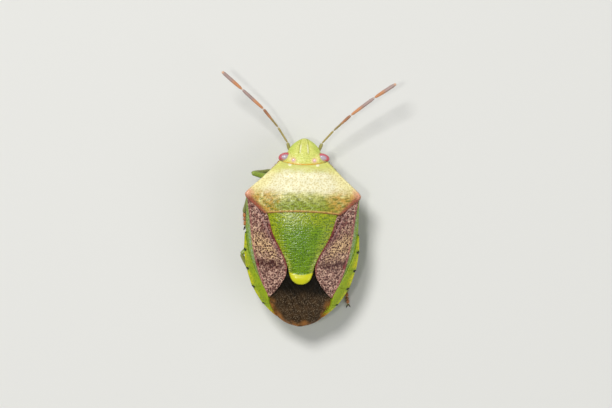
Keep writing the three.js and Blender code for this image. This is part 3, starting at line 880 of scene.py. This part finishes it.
def head_place(angle, v):
    rear_cap = 0.04
    y = mix(head_rear, head_tip, clamp((v - rear_cap) / (1 - rear_cap)))
    closing = clamp(v / rear_cap)
    out = np.cos(angle) * closing
    x = head_edge(y) * out
    ax = np.abs(x)
    full = clamp(1 - np.abs(out) ** 2.3)
    lobes = step(2.32, 2.5, y) * step(head_tip, 3.1, y)
    groove = 0.045 * band(ax, lobe_line(y), 0.03) * lobes
    crown = 0.03 * step(lobe_line(y), 0, ax) * lobes
    orbit = 0.1 * band(ax, 0.8, 0.13) * band(y, 2.27, 0.2) - 0.03 * band(ax, 0.62, 0.05) * band(y, 2.3, 0.16)
    vertex = 0.015 * band(y, 2.42, 0.06) * step(0.6, 0.3, ax)
    ocellus_seat = 0.02 * band(np.hypot(ax - ocellus_at[0], y - ocellus_at[1]), 0.11, 0.03)
    wrinkles = 0.007 * vertex_lines(x, y) * step(0.55, 0.4, ax) + 0.006 * waves(x, y, 0.25, 72)
    pitted = 0.012 * head_pits(x, y)
    relief = crown + orbit + ocellus_seat + wrinkles - groove - vertex - pitted
    top = head_side(y) + (head_top(y) - head_side(y)) * full**0.72 + relief * np.minimum(1, 4 * full)
    cheeks = 0.12 * band(ax, 0.24, 0.07) * step(2.1, 2.4, y) * step(3.25, 2.95, y)
    under = head_side(y) - (head_side(y) - head_under(y)) * full**0.55 - cheeks + 0.05 * band(x, 0, 0.14)
    under += 0.008 * pits(x, y, spacing=0.1, radius=0.04, seed=74)
    z = mix(head_side(y), np.where(np.sin(angle) >= 0, top, under), closing)
    return x, y, np.where(np.abs(out) > 0.9999, head_side(y), z)


head = loft("head_capsule", around=240, along=190, place=head_place)
x, y, z = corners_of(head)
ax = np.abs(x)
above = step(1.9, 2.0, z + 0.25 * step(2.9, 3.2, y))
share = ax / np.maximum(head_edge(y), 0.05)
nape = 2.0 - collar_bow + collar_bow * (x / front_corner[1]) ** 2
lobe_rim = band(ax, lobe_line(y) - 0.06, 0.035)
lines = 0.5 * clamp(1.3 * vertex_lines(x, y))
mark(
    head,
    green_side=np.maximum(step(0.45, 0.85, share) * step(2.3, 2.6, y), 1 - above) * 0.6,
    warm_cheek=band(ax, 0.72, 0.16) * band(y, 2.2, 0.2) * above * 0.8,
    cream_lobe=lobe_rim * step(2.42, 2.55, y) * step(3.05, 2.85, y) * above,
    vertex_lines=lines * step(0.55, 0.4, ax) * step(2.5, 2.35, y),
    pit=0.45 * clamp(1.6 * head_pits(x, y)) * above,
    groove=0.65 * band(ax, lobe_line(y), 0.025) * step(2.4, 2.5, y) * above,
    pink=step(0.2, 0.1, np.hypot(ax - ocellus_at[0], y - ocellus_at[1])) * above * 0.6,
    ochre=band(y, nape + 0.02, 0.07) * above,
)
head_paint = cuticle(
    "head_cuticle", (218, 220, 118),
    [
        ("green_side", (184, 204, 76)),
        ("warm_cheek", (236, 222, 140)),
        ("cream_lobe", (244, 240, 196)),
        ("vertex_lines", (176, 192, 84)),
        ("pit", (166, 166, 56)),
        ("groove", (156, 160, 46)),
        ("pink", (228, 176, 156)),
        ("ochre", (216, 150, 28)),
    ],
    gloss=0.34, mottle=0.08,
)
fit(head, head_paint, "head_shell", "head")

# The ocelli, two simple eyes: each is one small clear bead of cuticle, grown into the head's top beside the
# middle, with pinkish skin around it.
ocellus_paint = cuticle("ocellus_bead", (226, 186, 196), [], gloss=0.12, sheen=0.8, mottle=0.06)
for side, word in both_sides:
    bpy.ops.object.select_all(action="DESELECT")
    bpy.ops.mesh.primitive_uv_sphere_add(segments=32, ring_count=20, radius=0.08 * mm)
    ocellus = bpy.context.object
    ocellus.name = "ocellus_" + word
    bpy.ops.transform.resize(value=(1.0, 1.0, 0.7))
    out, ahead, up = ocellus_at
    bpy.ops.transform.translate(value=(side * out * mm, ahead * mm, up * mm))
    bpy.ops.object.transform_apply(location=True, rotation=True, scale=True)
    fit(ocellus, ocellus_paint, "head_shell", "head")

# The compound eyes, half sunk in the head's sides: clear cuticle over many tiny facets, grey-lilac on top
# with a pink-red rim outside and a cream band behind.
eye_size = (0.37, 0.235, 0.29)
eye_turn = 0.24


def eye_place(side):
    def place(angle, v):
        dip = v * np.pi
        nx, ny, nz = np.sin(dip) * np.cos(angle), -np.cos(dip), np.sin(dip) * np.sin(angle)
        x, y = nx * eye_size[0], ny * eye_size[1]
        turn = -side * eye_turn
        x, y = x * math.cos(turn) - y * math.sin(turn), x * math.sin(turn) + y * math.cos(turn)
        return side * eye_centre[0] + x, eye_centre[1] + y, eye_centre[2] + nz * eye_size[2]

    return place


eye_paint = cuticle(
    "eye_facets", (204, 84, 92),
    [
        ("lilac", (178, 166, 178)),
        ("cream", (232, 216, 178)),
        ("dark_rim", (120, 70, 50)),
    ],
    gloss=0.16, sheen=0.6, mottle=0.08, grain=0.004, grain_size=0.022, facets=True,
)
for side, word in both_sides:
    eye = loft("eye_facets_" + word, around=120, along=90, place=eye_place(side))
    x, y, z = corners_of(eye)
    out = (side * x - eye_centre[0]) / eye_size[0]
    fore = (y - eye_centre[1]) / eye_size[1]
    up = (z - eye_centre[2]) / eye_size[2]
    mark(
        eye,
        lilac=step(0.8, 0.35, np.hypot((out + 0.1) * 0.9, fore + 0.05)) * step(0.1, 0.5, up),
        cream=step(-0.45, -0.75, fore + 0.25 * out) * step(-0.3, 0.1, up),
        dark_rim=step(-0.1, -0.5, up) * 0.8,
    )
    fit(eye, eye_paint, "eye", "eye_" + word)

# The antennae, five joints each on a short root, olive green near the head and orange-brown with grey ends
# further out. Each joint is a thin tube, pinched where it meets the next, and the outer three bear hair.
def stem(a, b, radii, cap=0.05, sides=10):
    """A round closed joint from a to b: a disc pulled out through evenly spaced radii to rounded ends."""
    bpy.ops.object.select_all(action="DESELECT")
    start, end = Vector(a) * mm, Vector(b) * mm
    length = (end - start).length
    cap = min(cap * mm / length, 0.2)
    shares = [0, *np.linspace(cap, 1 - cap, len(radii)), 1]
    end_size = 0.55
    radii = [end_size * radii[0], *radii, end_size * radii[-1]]
    bpy.ops.mesh.primitive_circle_add(vertices=sides, radius=radii[0] * mm, fill_type="NGON")
    joint = bpy.context.object
    bpy.ops.object.mode_set(mode="EDIT")
    for i in range(1, len(radii)):
        rise, size = (shares[i] - shares[i - 1]) * length, radii[i] / radii[i - 1]
        bpy.ops.mesh.extrude_region_move(TRANSFORM_OT_translate={"value": (0, 0, rise)})
        bpy.ops.transform.resize(value=(size, size, 1), center_override=(0, 0, shares[i] * length))
    bpy.ops.mesh.select_all(action="SELECT")
    bpy.ops.mesh.normals_make_consistent(inside=False)
    bpy.ops.object.mode_set(mode="OBJECT")
    bpy.ops.object.modifier_add(type="SUBSURF")
    joint.modifiers[-1].levels = 2
    bpy.ops.object.modifier_apply(modifier=joint.modifiers[-1].name)
    joint.rotation_mode = "QUATERNION"
    joint.rotation_quaternion = (end - start).to_track_quat("Z", "Y")
    joint.location = start
    bpy.ops.object.transform_apply(location=True, rotation=True, scale=True)
    return joint


def hair(name, joints, count, length, root, seed):
    """Short stiff hairs on joints, given as (from, to, radius): three-sided spikes that lean to the tip."""
    lowest_hair = 0.01
    draw = np.random.default_rng(seed)
    points, faces, patches = [], [], []
    for number, (a, b, radius) in enumerate(joints):
        a, b = Vector(a), Vector(b)
        axis = (b - a).normalized()
        side = axis.orthogonal().normalized()
        other = axis.cross(side)
        for _ in range(count):
            turn, t, bend, reach = draw.uniform((0, 0.08, 0.4, 0.6), (2 * np.pi, 0.88, 1.0, 1.2))
            away = side * math.cos(turn) + other * math.sin(turn)
            foot = a + (b - a) * t + away * radius * 0.8
            tip = foot + (away * math.sin(bend) + axis * math.cos(bend)) * length * reach
            if tip.z < lowest_hair:
                continue
            across = axis.cross(away)
            first = len(points)
            points += [foot + across * root, foot - across * root, foot + axis * root, tip]
            faces += [(first, first + 1, first + 3), (first + 1, first + 2, first + 3),
                      (first + 2, first, first + 3), (first, first + 2, first + 1)]
            patches.append(((number + t) / len(joints), turn / (2 * np.pi)))
    mesh = bpy.data.meshes.new(name)
    mesh.from_pydata([p * mm for p in points], [], faces)
    grown = bpy.data.objects.new(name, mesh)
    bpy.context.scene.collection.objects.link(grown)
    bpy.ops.object.select_all(action="DESELECT")
    grown.select_set(True)
    bpy.context.view_layer.objects.active = grown
    bpy.ops.object.mode_set(mode="EDIT")
    bpy.ops.mesh.select_all(action="SELECT")
    bpy.ops.mesh.normals_make_consistent(inside=False)
    bpy.ops.object.mode_set(mode="OBJECT")
    patch = 0.003
    corner_shift = np.array([(0, 0), (1, 0), (0, 1), (1, 1)]) * patch
    roots = np.array(patches) * (1 - patch)
    bake = mesh.uv_layers.new(name="OFBake")
    for loop in mesh.loops:
        u, v = roots[loop.vertex_index // 4] + corner_shift[loop.vertex_index % 4]
        bake.data[loop.index].uv = (u, v)
    return grown


def joined(name, pieces):
    """Several joints as one piece."""
    bpy.ops.object.select_all(action="DESELECT")
    for piece in pieces:
        piece.select_set(True)
    bpy.context.view_layer.objects.active = pieces[0]
    bpy.ops.object.join()
    pieces[0].name = name
    return pieces[0]


antenna_z = [1.5, 1.62, 1.9, 2.2, 2.5, 2.74]
antennae = {
    "left": [(-0.78, 2.62), (-0.9, 3.04), (-1.42, 3.83), (-2.22, 4.78), (-3.37, 5.78), (-4.47, 6.7)],
    "right": [(0.78, 2.62), (0.94, 3.05), (1.53, 3.72), (2.43, 4.57), (3.65, 5.52), (4.79, 6.29)],
}
joint_radii = [
    (0.08, 0.1, 0.1, 0.09),
    (0.046, 0.053, 0.054, 0.055, 0.058, 0.062),
    (0.046, 0.052, 0.054, 0.062, 0.078, 0.086, 0.078),
    (0.062, 0.083, 0.09, 0.094, 0.095, 0.092, 0.08),
    (0.064, 0.09, 0.1, 0.106, 0.105, 0.099, 0.082),
]
joint_coats = [
    {"olive": 0.95}, {"olive": 0.8}, {"olive_base": 0.9, "brown_end": 0.8},
    {"grey_end": 0.9}, {"grey_end": 0.9, "pale_tip": 1.0},
]
antenna_paint = cuticle(
    "antenna_cuticle", (206, 142, 98),
    [
        ("olive", (158, 154, 88)),
        ("olive_base", (152, 138, 82)),
        ("brown_end", (150, 106, 80)),
        ("grey_end", (166, 146, 142)),
        ("pale_tip", (222, 170, 130)),
        ("pale_joint", (224, 212, 196)),
    ],
    gloss=0.45, sheen=0.1,
)
hair_paint = cuticle("hair_horn", (196, 168, 130), [], gloss=0.5, sheen=0.0, mottle=0.1)
for word, path in antennae.items():
    at = [(*p, z) for p, z in zip(path, antenna_z)]
    joints = []
    for a, b, radii, coats in zip(at, at[1:], joint_radii, joint_coats):
        joint = stem(a, b, radii)
        x, y, z = corners_of(joint)
        along = np.linalg.norm(np.stack([x, y, z]) - np.array(a)[:, None], axis=0) / math.dist(a, b)
        mark(
            joint,
            olive=coats.get("olive", 0),
            olive_base=coats.get("olive_base", 0) * step(0.65, 0.35, along),
            brown_end=coats.get("brown_end", 0) * step(0.4, 0.9, along),
            grey_end=coats.get("grey_end", 0) * step(0.35, 0.6, along),
            pale_tip=coats.get("pale_tip", 0) * step(0.9, 0.97, along),
            pale_joint=0.85 * np.maximum(step(0.07, 0.03, along), 0.6 * step(0.96, 0.99, along)),
        )
        joints.append(joint)
    antenna = joined("antenna_joints_" + word, joints)
    fit(antenna, antenna_paint, "antenna", "antenna_" + word)
    spans = [(a, b, max(radii)) for a, b, radii in zip(at, at[1:], joint_radii)]
    bristles = hair("antenna_hair_" + word, spans[2:], count=210, length=0.06, root=0.005, seed=91)
    fit(bristles, hair_paint, "antenna", "antenna_" + word)
    side = math.copysign(1, path[0][0])
    root = stem((side * 0.62, 2.46, 1.5), (side * 0.8, 2.7, 1.5), (0.15, 0.15, 0.13, 0.11))
    root.name = "antenna_root_" + word
    mark(root, green_side=0.6)
    fit(root, head_paint, "head_shell", "head")

# The rostrum, the sucking beak, folded back along the breast from under the head: four tapered tubes of pale
# cuticle, end to end, with a groove down the middle and a dark point.
beak = [(0, 2.9, 1.22), (0, 1.9, 0.98), (0, 0.9, 0.92), (0, -0.1, 0.9), (0, -0.86, 0.88)]
beak_radii = [
    (0.12, 0.15, 0.15, 0.13), (0.11, 0.14, 0.14, 0.12),
    (0.1, 0.11, 0.11, 0.09), (0.08, 0.08, 0.05, 0.025),
]
beak_joints = []
for a, b, radii in zip(beak, beak[1:], beak_radii):
    joint = stem(a, b, radii)
    x, y, z = corners_of(joint)
    mark(
        joint,
        pale_keel=0.8,
        dot=step(-0.62, -0.76, y),
        suture=0.8 * band(x, 0, 0.02) * step(b[2], b[2] - 0.03, z),
    )
    beak_joints.append(joint)
rostrum = joined("rostrum_joints", beak_joints)
fit(rostrum, body_paint, "body_shell", "rostrum")

# The legs, six of one make: coxa, trochanter, thigh, shin and a foot of three joints with two claws. They
# are green with orange-brown feet, and short stiff hairs stand on shins and feet.
stance = {
    "leg_fore_left": ((-2.76, 1.38, 1.28), (-1.76, 1.52), (-1.24, 2.08)),
    "leg_fore_right": ((2.16, 0.92, 1.38), (1.56, 1.72), (1.08, 2.2)),
    "leg_mid_left": ((-2.86, 0.32, 1.44), (-3.14, -0.72), (-3.06, -1.45)),
    "leg_mid_right": ((2.66, 0.08, 1.44), (2.78, -0.8), (2.7, -1.55)),
    "leg_hind_left": ((-3.22, -2.97, 1.38), (-2.06, -5.06), (-1.64, -5.7)),
    "leg_hind_right": ((2.9, -2.84, 1.48), (2.46, -4.88), (2.56, -5.5)),
}
heel_z = 0.19
foot_z = 0.1
foot_joint_ends = (0.42, 0.6)
claw_spread = 0.5
leg_marks = ("pale_joint", "olive_shin", "rust_foot", "spot")
leg_paint = cuticle(
    "leg_cuticle", (146, 164, 70),
    [
        ("pale_joint", (198, 202, 120)),
        ("olive_shin", (146, 142, 82)),
        ("rust_foot", (192, 118, 62)),
        ("spot", (96, 108, 38), 0.045, (0.57, 0.63)),
    ],
    gloss=0.35,
)
claw_paint = cuticle("claw_horn", (46, 28, 18), [], gloss=0.25, mottle=0.3)


def leg_joint(a, b, radii, **shares):
    """A joint that bears all of the leg's marks, those not given at 0."""
    joint = stem(a, b, radii)
    mark(joint, **{name: shares.get(name, 0) for name in leg_marks})
    return joint


for name, (knee, ankle, toe) in stance.items():
    _, pair, word = name.split("_")
    side = -1 if word == "left" else 1
    cx, cy, cz = coxae[pair]
    coxa = Vector((side * cx, cy, cz + 0.12))
    hip = Vector((side * (cx + 0.14), cy, cz - 0.16))
    hinge = Vector((side * (cx + 0.32), cy, cz - 0.18))
    knee, heel, tip = Vector(knee), Vector((*ankle, heel_z)), Vector((*toe, foot_z))
    ahead = (tip - heel).normalized()
    foot_steps = [heel, *(heel.lerp(tip, share) for share in foot_joint_ends), tip]
    parts = [
        leg_joint(coxa, hip, (0.18, 0.25, 0.25, 0.2), pale_joint=0.7),
        leg_joint(hip, hinge, (0.14, 0.16, 0.16, 0.13), pale_joint=0.4),
        leg_joint(hinge, knee, (0.12, 0.17, 0.21, 0.21, 0.19, 0.165, 0.15, 0.14), spot=0.7),
        leg_joint(knee, heel, (0.1, 0.12, 0.112, 0.107, 0.107, 0.11, 0.12, 0.12), olive_shin=0.7, spot=0.5),
    ]
    for a, b in zip(foot_steps, foot_steps[1:]):
        parts.append(leg_joint(a, b, (0.06, 0.085, 0.095, 0.08), rust_foot=1.0))
    claws = []
    for turn in (-claw_spread, claw_spread):
        out = Vector((ahead.x * math.cos(turn) - ahead.y * math.sin(turn),
                      ahead.x * math.sin(turn) + ahead.y * math.cos(turn), 0)).normalized()
        bend = tip + out * 0.13 + Vector((0, 0, 0.035))
        claws.append(stem(tip + out * 0.05, bend, (0.036, 0.038, 0.034), cap=0.01))
        point = tip + out * 0.26 + Vector((0, 0, -0.07))
        claws.append(stem(bend - out * 0.015, point, (0.034, 0.028, 0.018, 0.01)))
        pad = tip + out.lerp(ahead, 0.6) * 0.13 + Vector((0, 0, -0.045))
        parts.append(leg_joint(tip, pad, (0.03, 0.035, 0.04, 0.03), pale_joint=1.0))
    leg = joined(name + "_joints", parts)
    x, y, z = corners_of(leg)
    mould(leg, x, y, np.maximum(z, 0))
    fit(leg, leg_paint, "leg_shell", name)
    fit(joined(name + "_claws", claws), claw_paint, "leg_shell", name)
    spans = [(knee, heel, 0.11), *((a, b, 0.09) for a, b in zip(foot_steps, foot_steps[1:]))]
    bristles = hair(name + "_hair", spans, count=110, length=0.075, root=0.006, seed=101)
    fit(bristles, hair_paint, "leg_shell", name)
